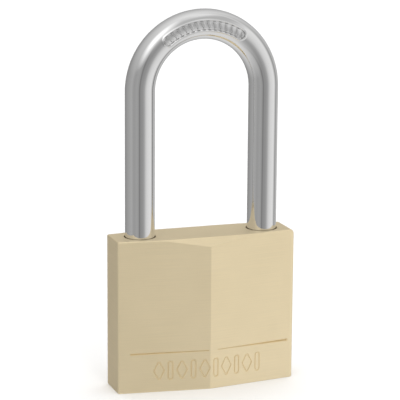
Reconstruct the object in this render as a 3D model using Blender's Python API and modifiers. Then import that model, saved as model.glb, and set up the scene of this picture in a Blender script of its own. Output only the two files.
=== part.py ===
"""A solid brass padlock, 40 mm wide, with a tall shackle of 6.35 mm plated steel rod.

The one-piece body is ridged down the middle of its front and back. A plug with
four pin stacks is keyed from below. A cam on the plug draws two spring bolts,
which lock both legs of the shackle.

Frame: the origin is the middle of the body's bottom face and +Z points up the
shackle. -Y is the front, and +X is the toe side, where the shackle comes free.
The lock stands closed with its key turned to open, so both bolts are drawn back
and the pins in the plug point to +Y, away from their chambers.
"""

import math

import bmesh
import bpy
from mathutils import Matrix, Vector

MM = 0.001
TINY = 0.00001
OVERCUT = 1.0 * MM
JOIN_OVERLAP = 0.2 * MM
REST_GAP = 0.3 * MM
ROUND_STEPS = 32
SMALL_ROUND_STEPS = 16
COIL_STEPS_PER_TURN = 8
X_AXIS = Vector((1.0, 0.0, 0.0))
Y_AXIS = Vector((0.0, 1.0, 0.0))
Z_AXIS = Vector((0.0, 0.0, 1.0))

# Body: a flattened hexagon in plan, with a ridge down its front and its back.
BODY_HALF_WIDTH = 20.0 * MM
BODY_HEIGHT = 33.4 * MM
BODY_HALF_DEPTH_AT_ENDS = 4.0 * MM
BODY_HALF_DEPTH_AT_RIDGE = 6.55 * MM
BODY_EDGE_BEVEL = 0.4 * MM
TOP_FLAT_HALF_DEPTH = 5.14 * MM
RIDGE_TOP_Z = 31.55 * MM
CHAMFER_CUTTER_THICKNESS = 6.0 * MM
SCORE_LINE_Z = 8.65 * MM
SCORE_LINE_WIDTH = 0.35 * MM
SCORE_LINE_DEPTH = 0.25 * MM
SCORE_LINE_START = 2.0 * MM
SCORE_LINE_END = 18.9 * MM

# Shackle: one rod, bent to a half circle above two straight legs.
ROD_RADIUS = 3.175 * MM
LEG_X = 13.87 * MM
BEND_CENTRE_Z = 64.5 * MM
BEND_STEPS = 20
ROD_BEVEL_RESOLUTION = 8
LEG_HOLE_RADIUS = 3.42 * MM
TOE_TIP_Z = 21.5 * MM
TOE_HOLE_FLOOR_Z = 20.5 * MM
HEEL_END_Z = 8.7 * MM
HEEL_HOLE_FLOOR_Z = 3.5 * MM
LEG_END_BEVEL = 0.6 * MM
SHACKLE_LIFT = 12.5 * MM

# Bolts: two pins in one cross bore, each with an arm over the cam.
BOLT_Z = 26.5 * MM
BOLT_RADIUS = 2.5 * MM
BOLT_NOSE = 1.2 * MM
BOLT_BORE_RADIUS = 2.6 * MM
TOE_BOLT_TIP_X = 10.3 * MM
TOE_BOLT_TRAVEL = 2.2 * MM
HEEL_BOLT_TIP_X = 11.3 * MM
HEEL_BOLT_TRAVEL = 1.3 * MM
BOLT_SHOULDER_X = 4.4 * MM
ARM_TOP_Z = 26.6 * MM
ARM_UNDERSIDE_Z = 25.7 * MM
ARM_INNER_Y = 0.15 * MM
TOE_LUG_END_X = 2.9 * MM
TOE_LUG_FACE_X = 1.75 * MM
HEEL_LUG_END_X = 2.45 * MM
HEEL_LUG_FACE_X = 1.3 * MM
BOLT_SPRING_Z = 27.65 * MM
BOLT_SPRING_RADIUS = 0.7 * MM
BOLT_SPRING_WIRE = 0.3 * MM
BOLT_SPRING_TURNS = 8
SPRING_SEAT_RADIUS = 1.0 * MM
SPRING_SEAT_DEPTH = 1.0 * MM

# Cylinder: the plug, the cam on its inner end and the pin that keeps it in.
PLUG_RADIUS = 4.5 * MM
PLUG_EDGE_BEVEL = 0.3 * MM
PLUG_STEPS = 40
PLUG_BORE_RADIUS = 4.6 * MM
PLUG_FACE_Z = 0.25 * MM
PLUG_TOP_Z = 20.2 * MM
PLUG_BORE_TOP_Z = 25.6 * MM
GROOVE_RADIUS = 3.6 * MM
GROOVE_BOTTOM_Z = 17.75 * MM
GROOVE_TOP_Z = 19.45 * MM
RETAINING_PIN_RADIUS = 0.75 * MM
RETAINING_HOLE_RADIUS = 0.8 * MM
RETAINING_PIN_Z = 18.6 * MM
CAM_RADIUS = 4.3 * MM
CAM_TOP_Z = 22.6 * MM
CAM_EDGE_BEVEL = 0.2 * MM
TONGUE_HALF_WIDTH = 0.65 * MM
TONGUE_DEPTH = 0.45 * MM
TONGUE_INSET = 0.5 * MM
TONGUE_SLOT_HALF_WIDTH = 0.8 * MM
TONGUE_SLOT_DEPTH = 0.6 * MM
CAM_POST_RADIUS = 0.5 * MM
CAM_POST_STEPS = 12
CAM_POST_TOP_Z = 25.4 * MM
TOE_POST_ORBIT = 1.56 * MM
TOE_POST_ANGLE = math.radians(135.0)
HEEL_POST_ORBIT = 0.92 * MM
HEEL_POST_ANGLE = math.radians(-45.0)

# Keyway, in plan: its length runs along the pins and its sides step past two wards.
KEYWAY_LOW_Y = -3.7 * MM
KEYWAY_HIGH_Y = 2.0 * MM
KEYWAY_HALF_WIDTH = 0.95 * MM
WARD_REACH = 0.7 * MM
LEFT_WARD_Y = -1.9 * MM
RIGHT_WARD_Y = 0.1 * MM
WARD_HALF_THICKNESS = 0.4 * MM

# Pin stacks: four in a row up the plug.
STACK_COUNT = 4
FIRST_STACK_Z = 4.2 * MM
STACK_PITCH = 3.8 * MM
PIN_RADIUS = 1.25 * MM
CHAMBER_RADIUS = 1.35 * MM
PIN_BEVEL = 0.25 * MM
PIN_STEPS = 20
KEY_PIN_TOP = 4.35 * MM
KEY_PIN_HOLE_FLOOR = -0.6 * MM
KEY_CUT_HEIGHTS = (0.75 * MM, 1.45 * MM, 1.05 * MM, 1.75 * MM)
KEY_PIN_TIP_RADIUS = 0.45 * MM
DRIVER_START_X = 4.75 * MM
DRIVER_LENGTH = 4.2 * MM
PIN_SPRING_TURNS = 5
PIN_SPRING_RADIUS = 0.95 * MM
PIN_SPRING_WIRE = 0.3 * MM
CHAMBER_PLUG_INNER_X = 17.2 * MM
CLOSURE_FACE_X = 19.9 * MM
CLOSURE_CLEARANCE = 0.05 * MM
BOLT_BORE_PLUG_INNER_X = 17.6 * MM

# Shackle spring, under the heel leg.
SHACKLE_SPRING_RADIUS = 2.2 * MM
SHACKLE_SPRING_WIRE = 0.6 * MM
SHACKLE_SPRING_TURNS = 4
SPRING_WIRE_RESOLUTION = 2


def clear_scene():
    """Remove every object that the file opened with."""
    for obj in list(bpy.data.objects):
        bpy.data.objects.remove(obj, do_unlink=True)


def new_collection(name):
    collection = bpy.data.collections.new(name)
    bpy.context.scene.collection.children.link(collection)
    return collection


def new_material(name, color, roughness, metallic=1.0):
    material = bpy.data.materials.new(name)
    material.use_nodes = True
    shader = material.node_tree.nodes["Principled BSDF"]
    shader.inputs["Base Color"].default_value = (*color, 1.0)
    shader.inputs["Roughness"].default_value = roughness
    shader.inputs["Metallic"].default_value = metallic
    return material


def new_object(name, data, collection, axis=Z_AXIS, location=(0.0, 0.0, 0.0)):
    """Place data so that its own +Z lies along axis."""
    obj = bpy.data.objects.new(name, data)
    collection.objects.link(obj)
    obj.rotation_euler = Z_AXIS.rotation_difference(axis).to_euler()
    obj.location = location
    return obj


def dress(obj, material):
    """Give a piece its material, with smooth rounds and sharp corners."""
    obj.data.materials.append(material)
    if obj.type == "MESH":
        obj.data.shade_smooth()
        obj.data.set_sharp_from_angle(angle=math.radians(30.0))
    return obj


def as_cutter(obj):
    obj.hide_render = True
    obj.display_type = "WIRE"
    return obj


def combine(target, tool, operation="DIFFERENCE"):
    modifier = target.modifiers.new(operation.title() + " " + tool.name, "BOOLEAN")
    modifier.operation = operation
    modifier.solver = "EXACT"
    modifier.object = tool


def bevel(obj, width, angle=math.radians(40.0), segments=1):
    modifier = obj.modifiers.new("Bevel", "BEVEL")
    modifier.width = width
    modifier.segments = segments
    modifier.limit_method = "ANGLE"
    modifier.angle_limit = angle


def turned(name, profile, collection, axis=Z_AXIS, location=(0.0, 0.0, 0.0), steps=ROUND_STEPS):
    """Turn a profile of (radius, height) points, given from top to bottom."""
    mesh = bpy.data.meshes.new(name)
    points = [(radius, 0.0, height) for radius, height in profile]
    edges = [(i, i + 1) for i in range(len(points) - 1)]
    mesh.from_pydata(points, edges, [])
    obj = new_object(name, mesh, collection, axis, location)
    screw = obj.modifiers.new("Turn", "SCREW")
    screw.steps = steps
    screw.render_steps = steps
    screw.use_merge_vertices = True
    screw.merge_threshold = TINY
    screw.use_smooth_shade = False
    return obj


def rod(name, radius, start, end, collection, axis=Z_AXIS, location=(0.0, 0.0, 0.0), edge=0.0,
        steps=ROUND_STEPS):
    """A plain round pin from start to end along its axis, with an optional edge bevel."""
    profile = [(0.0, end), (radius - edge, end), (radius, end - edge)]
    profile += [(radius, start + edge), (radius - edge, start), (0.0, start)]
    if edge == 0.0:
        profile = [(0.0, end), (radius, end), (radius, start), (0.0, start)]
    return turned(name, profile, collection, axis, location, steps)


def box(name, low, high, collection, turn=0.0, tilt=0.0):
    """A block between two corners, turned about Z and tilted about X at its centre."""
    low = Vector(low)
    high = Vector(high)
    graph = bmesh.new()
    bmesh.ops.create_cube(graph, size=1.0, matrix=Matrix.Diagonal((*(high - low), 1.0)))
    mesh = bpy.data.meshes.new(name)
    graph.to_mesh(mesh)
    graph.free()
    obj = bpy.data.objects.new(name, mesh)
    collection.objects.link(obj)
    obj.rotation_euler = (tilt, 0.0, turn)
    obj.location = (low + high) / 2
    return obj


def mesh_from_curve(obj, collection):
    """Turn a curve object into a closed mesh object that modifiers can cut."""
    bpy.context.view_layer.update()
    evaluated = obj.evaluated_get(bpy.context.evaluated_depsgraph_get())
    mesh = bpy.data.meshes.new_from_object(evaluated)
    graph = bmesh.new()
    graph.from_mesh(mesh)
    bmesh.ops.remove_doubles(graph, verts=graph.verts, dist=TINY)
    graph.to_mesh(mesh)
    graph.free()
    result = bpy.data.objects.new(obj.name + "_mesh", mesh)
    collection.objects.link(result)
    result.matrix_world = obj.matrix_world
    name = obj.name
    bpy.data.objects.remove(obj, do_unlink=True)
    result.name = name
    return result


def prism(name, outline, bottom, top, collection):
    """A closed outline in plan, extruded from bottom to top."""
    curve = bpy.data.curves.new(name, "CURVE")
    curve.dimensions = "2D"
    curve.fill_mode = "BOTH"
    curve.extrude = (top - bottom) / 2
    spline = curve.splines.new("POLY")
    spline.points.add(len(outline) - 1)
    for point, (x, y) in zip(spline.points, outline):
        point.co = (x, y, 0.0, 1.0)
    spline.use_cyclic_u = True
    obj = new_object(name, curve, collection, location=(0.0, 0.0, (bottom + top) / 2))
    return mesh_from_curve(obj, collection)


def wire(name, points, radius, collection, resolution, axis=Z_AXIS, location=(0.0, 0.0, 0.0)):
    """A round wire through the points, with filled ends."""
    curve = bpy.data.curves.new(name, "CURVE")
    curve.dimensions = "3D"
    curve.bevel_depth = radius
    curve.bevel_resolution = resolution
    curve.use_fill_caps = True
    spline = curve.splines.new("POLY")
    spline.points.add(len(points) - 1)
    for point, place in zip(spline.points, points):
        point.co = (*place, 1.0)
    return new_object(name, curve, collection, axis, location)


def coil(name, radius, wire_size, start, end, turns, collection, axis=Z_AXIS, location=(0.0, 0.0, 0.0)):
    """A compression spring between start and end along its axis."""
    count = turns * COIL_STEPS_PER_TURN
    low = start + wire_size / 2
    high = end - wire_size / 2
    points = []
    for i in range(count + 1):
        angle = math.tau * i / COIL_STEPS_PER_TURN
        height = low + (high - low) * i / count
        points.append((radius * math.cos(angle), radius * math.sin(angle), height))
    return wire(name, points, wire_size / 2, collection, SPRING_WIRE_RESOLUTION, axis, location)


def stack_height(index):
    return FIRST_STACK_Z + index * STACK_PITCH


def body_outline():
    """The hexagon seen from above, anticlockwise from the right end's front corner."""
    right_end = [
        (BODY_HALF_WIDTH, -BODY_HALF_DEPTH_AT_ENDS),
        (BODY_HALF_WIDTH, BODY_HALF_DEPTH_AT_ENDS),
        (0.0, BODY_HALF_DEPTH_AT_RIDGE),
    ]
    left_end = [(-x, -y) for x, y in right_end]
    return right_end + left_end


def cut_ridge_chamfers(body, cutters):
    """Slope the top down to each ridge, level along X."""
    run = BODY_HALF_DEPTH_AT_RIDGE - TOP_FLAT_HALF_DEPTH
    drop = BODY_HEIGHT - RIDGE_TOP_Z
    slope = math.atan2(drop, run)
    thickness = CHAMFER_CUTTER_THICKNESS
    for name, side in (("front_chamfer_cutter", -1.0), ("back_chamfer_cutter", 1.0)):
        cutter = box(
            name,
            (-BODY_HALF_WIDTH - OVERCUT, -thickness, 0.0),
            (BODY_HALF_WIDTH + OVERCUT, thickness, thickness),
            cutters,
            tilt=-side * slope,
        )
        outward = Vector((0.0, side * math.sin(slope), math.cos(slope)))
        edge_middle = Vector((0.0, side * TOP_FLAT_HALF_DEPTH, BODY_HEIGHT))
        cutter.location = edge_middle + outward * thickness / 2
        combine(body, as_cutter(cutter))


def cut_score_lines(body, cutters):
    """Cut the thin level line on each half of the front."""
    slope = math.atan2(BODY_HALF_DEPTH_AT_RIDGE - BODY_HALF_DEPTH_AT_ENDS, BODY_HALF_WIDTH)
    middle = (SCORE_LINE_START + SCORE_LINE_END) / 2
    surface = BODY_HALF_DEPTH_AT_RIDGE - middle * math.tan(slope)
    half_length = (SCORE_LINE_END - SCORE_LINE_START) / 2 / math.cos(slope)
    for name, side in (("left_line_cutter", -1.0), ("right_line_cutter", 1.0)):
        low = (-half_length, -SCORE_LINE_DEPTH, -SCORE_LINE_WIDTH / 2)
        high = (half_length, SCORE_LINE_DEPTH, SCORE_LINE_WIDTH / 2)
        cutter = box(name, low, high, cutters, turn=side * slope)
        cutter.location = (side * middle, -surface, SCORE_LINE_Z)
        combine(body, as_cutter(cutter))


def build_body(parts, cutters, brass):
    body = prism("lock_body", body_outline(), 0.0, BODY_HEIGHT, parts)
    bevel(body, BODY_EDGE_BEVEL)
    cut_ridge_chamfers(body, cutters)
    cut_score_lines(body, cutters)
    above = BODY_HEIGHT + OVERCUT
    beyond = BODY_HALF_WIDTH + OVERCUT
    bores = [
        rod("toe_hole", LEG_HOLE_RADIUS, TOE_HOLE_FLOOR_Z, above, cutters, location=(LEG_X, 0.0, 0.0)),
        rod("heel_hole", LEG_HOLE_RADIUS, HEEL_HOLE_FLOOR_Z, above, cutters, location=(-LEG_X, 0.0, 0.0)),
        rod("plug_bore", PLUG_BORE_RADIUS, -OVERCUT, PLUG_BORE_TOP_Z, cutters, steps=PLUG_STEPS),
        rod("bolt_bore", BOLT_BORE_RADIUS, -LEG_X, beyond, cutters, X_AXIS, (0.0, 0.0, BOLT_Z)),
        rod("retaining_hole", RETAINING_HOLE_RADIUS, 0.0, beyond, cutters, X_AXIS,
            (0.0, 0.0, RETAINING_PIN_Z), steps=SMALL_ROUND_STEPS),
    ]
    for index in range(STACK_COUNT):
        place = (0.0, 0.0, stack_height(index))
        name = f"chamber_{index + 1}"
        bores.append(rod(name, CHAMBER_RADIUS, 0.0, beyond, cutters, X_AXIS, place, steps=PIN_STEPS))
    for bore in bores:
        combine(body, as_cutter(bore))
    return dress(body, brass)


def shackle_path():
    """The rod's centre line from the heel's end, round the bend, to the toe's tip."""
    points = [(-LEG_X, 0.0, HEEL_END_Z)]
    for i in range(BEND_STEPS + 1):
        angle = math.pi * (1.0 - i / BEND_STEPS)
        points.append((LEG_X * math.cos(angle), 0.0, BEND_CENTRE_Z + LEG_X * math.sin(angle)))
    points.append((LEG_X, 0.0, TOE_TIP_Z))
    return points


def build_shackle(parts, cutters, steel):
    """Bend the rod, then cut a notch in each leg and the long neck above the heel's collar."""
    rod_curve = wire("shackle", shackle_path(), ROD_RADIUS, parts, ROD_BEVEL_RESOLUTION)
    shackle = mesh_from_curve(rod_curve, parts)
    bevel(shackle, LEG_END_BEVEL, math.radians(60.0))
    notch_low = BOLT_Z - BOLT_RADIUS - REST_GAP
    notch_high = BOLT_Z + BOLT_RADIUS + REST_GAP
    collar_top = notch_low - SHACKLE_LIFT
    toe_floor_x = TOE_BOLT_TIP_X + TOE_BOLT_TRAVEL + REST_GAP
    heel_floor_x = -(HEEL_BOLT_TIP_X + HEEL_BOLT_TRAVEL + REST_GAP)
    neck_radius = LEG_X - HEEL_BOLT_TIP_X - REST_GAP
    wide = ROD_RADIUS + OVERCUT
    toe_low = (LEG_X - wide, -wide, notch_low)
    toe_high = (toe_floor_x, wide, notch_high)
    toe_notch = box("toe_notch", toe_low, toe_high, cutters)
    heel_low = (heel_floor_x, -wide, notch_low)
    heel_high = (wide - LEG_X, wide, notch_high)
    heel_notch = box("heel_notch", heel_low, heel_high, cutters)
    neck = [
        (neck_radius, notch_low),
        (wide, notch_low),
        (wide, collar_top),
        (neck_radius, collar_top),
        (neck_radius, notch_low),
    ]
    neck_ring = turned("neck_ring", neck, cutters, location=(-LEG_X, 0.0, 0.0))
    for cutter in (toe_notch, heel_notch, neck_ring):
        combine(shackle, as_cutter(cutter))
    return dress(shackle, steel)


def build_shackle_spring(parts, steel):
    place = (-LEG_X, 0.0, 0.0)
    start = HEEL_HOLE_FLOOR_Z + REST_GAP
    end = HEEL_END_Z - REST_GAP
    spring = coil("shackle_spring", SHACKLE_SPRING_RADIUS, SHACKLE_SPRING_WIRE, start, end,
                  SHACKLE_SPRING_TURNS, parts, location=place)
    return dress(spring, steel)


def build_bolt(name, side, tip_x, lug_end_x, lug_face_x, parts, cutters, material):
    """A round bolt with a half arm over the cam, ending in a lug that the cam's post draws.

    The bolt points along side times +X. Its arm lies on that same side of the
    centre line in Y, so the two bolts' arms pass each other.
    """
    axis = X_AXIS * side
    profile = [
        (0.0, tip_x),
        (BOLT_RADIUS - BOLT_NOSE / 2, tip_x),
        (BOLT_RADIUS, tip_x - BOLT_NOSE),
        (BOLT_RADIUS, -lug_end_x),
        (0.0, -lug_end_x),
    ]
    bolt = turned(name, profile, parts, axis, (0.0, 0.0, BOLT_Z))
    inner = side * BOLT_SHOULDER_X
    outer = -side * (lug_end_x + OVERCUT)
    low_x = min(inner, outer)
    high_x = max(inner, outer)
    wide = BOLT_RADIUS + OVERCUT
    bottom = BOLT_Z - wide
    top = BOLT_Z + wide
    arm_edge = side * ARM_INNER_Y
    low_y = min(arm_edge, -side * wide)
    high_y = max(arm_edge, -side * wide)
    lug_x = -side * lug_face_x
    cam_low = (min(inner, lug_x), -wide, bottom)
    cam_high = (max(inner, lug_x), wide, ARM_UNDERSIDE_Z)
    seat_end = BOLT_SHOULDER_X + SPRING_SEAT_DEPTH
    cuts = [
        box(name + "_side_cut", (low_x, low_y, bottom), (high_x, high_y, top), cutters),
        box(name + "_top_cut", (low_x, -wide, ARM_TOP_Z), (high_x, wide, top), cutters),
        box(name + "_cam_cut", cam_low, cam_high, cutters),
        rod(name + "_spring_seat", SPRING_SEAT_RADIUS, 0.0, seat_end, cutters, axis,
            (0.0, 0.0, BOLT_SPRING_Z), steps=SMALL_ROUND_STEPS),
    ]
    for cutter in cuts:
        combine(bolt, as_cutter(cutter))
    return dress(bolt, material)


def build_bolts(parts, cutters, brass, steel):
    build_bolt("toe_bolt", 1.0, TOE_BOLT_TIP_X, TOE_LUG_END_X, TOE_LUG_FACE_X, parts, cutters, brass)
    build_bolt("heel_bolt", -1.0, HEEL_BOLT_TIP_X, HEEL_LUG_END_X, HEEL_LUG_FACE_X, parts, cutters, brass)
    reach = BOLT_SHOULDER_X + SPRING_SEAT_DEPTH - REST_GAP
    spring = coil("bolt_spring", BOLT_SPRING_RADIUS, BOLT_SPRING_WIRE, -reach, reach, BOLT_SPRING_TURNS,
                  parts, X_AXIS, (0.0, 0.0, BOLT_SPRING_Z))
    dress(spring, steel)
    inner_x = BOLT_BORE_PLUG_INNER_X
    radius = BOLT_BORE_RADIUS - CLOSURE_CLEARANCE
    closure = rod("bolt_bore_plug", radius, inner_x, CLOSURE_FACE_X, parts, X_AXIS, (0.0, 0.0, BOLT_Z))
    dress(closure, brass)


def keyway_outline():
    """The keyway in plan, anticlockwise: a slot with one ward in from each side."""
    half = KEYWAY_HALF_WIDTH
    right = RIGHT_WARD_Y
    left = LEFT_WARD_Y
    ward = WARD_HALF_THICKNESS
    return [
        (-half, KEYWAY_LOW_Y),
        (half, KEYWAY_LOW_Y),
        (half, right - ward),
        (half - WARD_REACH, right - ward),
        (half - WARD_REACH, right + ward),
        (half, right + ward),
        (half, KEYWAY_HIGH_Y),
        (-half, KEYWAY_HIGH_Y),
        (-half, left + ward),
        (-half + WARD_REACH, left + ward),
        (-half + WARD_REACH, left - ward),
        (-half, left - ward),
    ]


def build_plug(parts, cutters, pivot, brass):
    """Turn the plug with its retaining groove, then cut the keyway, pin holes and cam slot."""
    profile = [
        (0.0, PLUG_TOP_Z),
        (PLUG_RADIUS, PLUG_TOP_Z),
        (PLUG_RADIUS, GROOVE_TOP_Z),
        (GROOVE_RADIUS, GROOVE_TOP_Z),
        (GROOVE_RADIUS, GROOVE_BOTTOM_Z),
        (PLUG_RADIUS, GROOVE_BOTTOM_Z),
        (PLUG_RADIUS, PLUG_FACE_Z + PLUG_EDGE_BEVEL),
        (PLUG_RADIUS - PLUG_EDGE_BEVEL, PLUG_FACE_Z),
        (0.0, PLUG_FACE_Z),
    ]
    plug = turned("cylinder_plug", profile, parts, steps=PLUG_STEPS)
    keyway = prism("keyway", keyway_outline(), -OVERCUT, PLUG_TOP_Z + OVERCUT, cutters)
    wide = PLUG_RADIUS + OVERCUT
    slot_low = (-wide, -TONGUE_SLOT_HALF_WIDTH, PLUG_TOP_Z - TONGUE_SLOT_DEPTH)
    slot_high = (wide, TONGUE_SLOT_HALF_WIDTH, PLUG_TOP_Z + OVERCUT)
    tools = [keyway, box("tongue_slot", slot_low, slot_high, cutters)]
    for index in range(STACK_COUNT):
        place = (0.0, 0.0, stack_height(index))
        name = f"key_pin_hole_{index + 1}"
        tools.append(rod(name, CHAMBER_RADIUS, KEY_PIN_HOLE_FLOOR, wide, cutters, Y_AXIS, place,
                         steps=SMALL_ROUND_STEPS))
    for tool in tools:
        combine(plug, as_cutter(tool))
    plug.parent = pivot
    return dress(plug, brass)


def build_cam(parts, cutters, pivot, steel):
    """A disc with a tongue below, in the plug's slot, and a post above for each bolt."""
    bottom = PLUG_TOP_Z + REST_GAP
    cam = rod("locking_cam", CAM_RADIUS, bottom, CAM_TOP_Z, parts, edge=CAM_EDGE_BEVEL)
    reach = CAM_RADIUS - TONGUE_INSET
    tongue_low = (-reach, -TONGUE_HALF_WIDTH, PLUG_TOP_Z - TONGUE_DEPTH)
    tongue_high = (reach, TONGUE_HALF_WIDTH, bottom + JOIN_OVERLAP)
    tools = [box("cam_tongue", tongue_low, tongue_high, cutters)]
    posts = (
        ("toe_post", TOE_POST_ORBIT, TOE_POST_ANGLE),
        ("heel_post", HEEL_POST_ORBIT, HEEL_POST_ANGLE),
    )
    for name, orbit, angle in posts:
        place = (orbit * math.cos(angle), orbit * math.sin(angle), 0.0)
        tools.append(rod(name, CAM_POST_RADIUS, CAM_TOP_Z - JOIN_OVERLAP, CAM_POST_TOP_Z, cutters,
                         location=place, steps=CAM_POST_STEPS))
    for tool in tools:
        combine(cam, as_cutter(tool), "UNION")
    cam.parent = pivot
    return dress(cam, steel)


def build_retaining_pin(parts, steel):
    start = GROOVE_RADIUS + REST_GAP
    place = (0.0, 0.0, RETAINING_PIN_Z)
    pin = rod("plug_retaining_pin", RETAINING_PIN_RADIUS, start, CLOSURE_FACE_X, parts, X_AXIS, place,
              steps=SMALL_ROUND_STEPS)
    return dress(pin, steel)


def build_pin_stack(index, parts, pivot, brass, nickel_silver, steel):
    """One stack: key pin in the plug, then driver, spring and closing plug in the chamber."""
    number = index + 1
    place = (0.0, 0.0, stack_height(index))
    cut_height = KEY_CUT_HEIGHTS[index]
    key_pin_profile = [
        (0.0, KEY_PIN_TOP),
        (PIN_RADIUS - PIN_BEVEL, KEY_PIN_TOP),
        (PIN_RADIUS, KEY_PIN_TOP - PIN_BEVEL),
        (PIN_RADIUS, cut_height + PIN_RADIUS - KEY_PIN_TIP_RADIUS),
        (KEY_PIN_TIP_RADIUS, cut_height),
        (0.0, cut_height),
    ]
    key_pin = turned(f"key_pin_{number}", key_pin_profile, parts, Y_AXIS, place, steps=PIN_STEPS)
    key_pin.parent = pivot
    dress(key_pin, nickel_silver)
    driver_end = DRIVER_START_X + DRIVER_LENGTH
    driver = rod(f"driver_pin_{number}", PIN_RADIUS, DRIVER_START_X, driver_end, parts, X_AXIS, place,
                 PIN_BEVEL, PIN_STEPS)
    dress(driver, brass)
    spring = coil(f"pin_spring_{number}", PIN_SPRING_RADIUS, PIN_SPRING_WIRE, driver_end + REST_GAP,
                  CHAMBER_PLUG_INNER_X - REST_GAP, PIN_SPRING_TURNS, parts, X_AXIS, place)
    dress(spring, steel)
    radius = CHAMBER_RADIUS - CLOSURE_CLEARANCE
    closure = rod(f"chamber_plug_{number}", radius, CHAMBER_PLUG_INNER_X, CLOSURE_FACE_X, parts, X_AXIS,
                  place, steps=PIN_STEPS)
    dress(closure, brass)


def build_padlock():
    clear_scene()
    parts = new_collection("padlock")
    cutters = new_collection("padlock_cutters")
    brass = new_material("satin_brass", (0.55, 0.42, 0.20), 0.35)
    plug_brass = new_material("plug_brass", (0.62, 0.47, 0.22), 0.28)
    plated_steel = new_material("plated_steel", (0.62, 0.62, 0.62), 0.12)
    nickel_silver = new_material("nickel_silver", (0.60, 0.58, 0.52), 0.25)
    spring_steel = new_material("spring_steel", (0.42, 0.42, 0.44), 0.30)
    hard_steel = new_material("hard_steel", (0.36, 0.36, 0.38), 0.38)
    plug_pivot = new_object("plug_pivot", None, parts)
    build_body(parts, cutters, brass)
    build_shackle(parts, cutters, plated_steel)
    build_shackle_spring(parts, spring_steel)
    build_bolts(parts, cutters, plug_brass, spring_steel)
    build_plug(parts, cutters, plug_pivot, plug_brass)
    build_cam(parts, cutters, plug_pivot, hard_steel)
    build_retaining_pin(parts, hard_steel)
    for index in range(STACK_COUNT):
        build_pin_stack(index, parts, plug_pivot, plug_brass, nickel_silver, spring_steel)


build_padlock()
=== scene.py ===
"""Looks of a solid brass padlock with a tall plated steel shackle.

Each piece is a skin worked out with numpy around the fixed frame, in metres:
a profile turned about an axis, a section carried along a path, or a set of
sections along the body. Bores, notches and engravings are then cut into it.
The front of the lock faces -Y and the shackle rises along +Z.
"""

import logging
import math
from dataclasses import dataclass
from enum import Enum
from functools import cached_property
from typing import Iterable, Optional, Sequence

import bpy
import numpy as np
from bpy.types import Material, NodeSocket, NodeTree, Object
from mathutils import Matrix, Vector


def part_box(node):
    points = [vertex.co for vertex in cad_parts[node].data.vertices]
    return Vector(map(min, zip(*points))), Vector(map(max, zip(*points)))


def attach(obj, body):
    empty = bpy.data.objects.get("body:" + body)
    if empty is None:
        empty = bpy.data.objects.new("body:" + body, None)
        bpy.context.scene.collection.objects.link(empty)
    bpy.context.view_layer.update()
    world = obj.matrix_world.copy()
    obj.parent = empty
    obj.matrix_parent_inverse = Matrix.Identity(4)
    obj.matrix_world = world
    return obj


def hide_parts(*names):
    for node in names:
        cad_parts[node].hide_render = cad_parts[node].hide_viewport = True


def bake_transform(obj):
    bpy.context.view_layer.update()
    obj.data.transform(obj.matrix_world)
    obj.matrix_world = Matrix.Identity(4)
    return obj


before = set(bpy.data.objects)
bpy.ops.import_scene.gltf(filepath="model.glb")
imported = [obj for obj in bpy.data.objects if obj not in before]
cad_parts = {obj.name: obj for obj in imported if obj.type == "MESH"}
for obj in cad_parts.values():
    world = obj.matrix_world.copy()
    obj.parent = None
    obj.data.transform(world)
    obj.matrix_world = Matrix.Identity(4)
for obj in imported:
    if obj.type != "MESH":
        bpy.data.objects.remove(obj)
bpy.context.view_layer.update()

MM = 0.001
OVERCUT = 1.0 * MM
X_AXIS = np.array((1.0, 0.0, 0.0))
Y_AXIS = np.array((0.0, 1.0, 0.0))
Z_AXIS = np.array((0.0, 0.0, 1.0))
LOG = logging.getLogger("padlock")

# Places that several pieces share, all within the body.
BOLT_Z = 26.5 * MM
BOLT_SPRING_Z = 27.65 * MM
KEEPER_Z = 18.6 * MM
STACK_Z = tuple((4.2 + 3.8 * i) * MM for i in range(4))
KEY_CUTS = (0.75 * MM, 1.45 * MM, 1.05 * MM, 1.75 * MM)
CLOSURE_END = 19.9 * MM


class Slot(Enum):
    """The finishes that the record names."""

    SATIN_BRASS = "satin_brass"
    PLATED_STEEL = "plated_steel"
    TURNED_BRASS = "turned_brass"
    NICKEL_SILVER = "nickel_silver"
    SPRING_STEEL = "spring_steel"
    HARD_STEEL = "hard_steel"


class Operation(Enum):
    """How a tool changes the piece that it meets."""

    CUT = "DIFFERENCE"
    JOIN = "UNION"


# Shapes


def unit(vectors: np.ndarray) -> np.ndarray:
    """Return the vectors, each scaled to length one."""
    return vectors / np.linalg.norm(vectors, axis=-1, keepdims=True)


def smooth_step(values: np.ndarray) -> np.ndarray:
    """Return 0 below 0, 1 above 1, and three squares less two cubes between."""
    clipped = np.clip(values, 0.0, 1.0)
    return clipped * clipped * (3.0 - 2.0 * clipped)


def running_length(points: np.ndarray) -> np.ndarray:
    """Return the distance travelled at each point of a polyline, from 0."""
    steps = np.linalg.norm(np.diff(points, axis=0), axis=1)
    return np.concatenate(([0.0], np.cumsum(steps)))


def spread(*spans: tuple[float, float, int]) -> np.ndarray:
    """Return rising numbers, spread evenly over each of some spans (from, to, count)."""
    return np.unique(np.concatenate([np.linspace(*span) for span in spans]))


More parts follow.
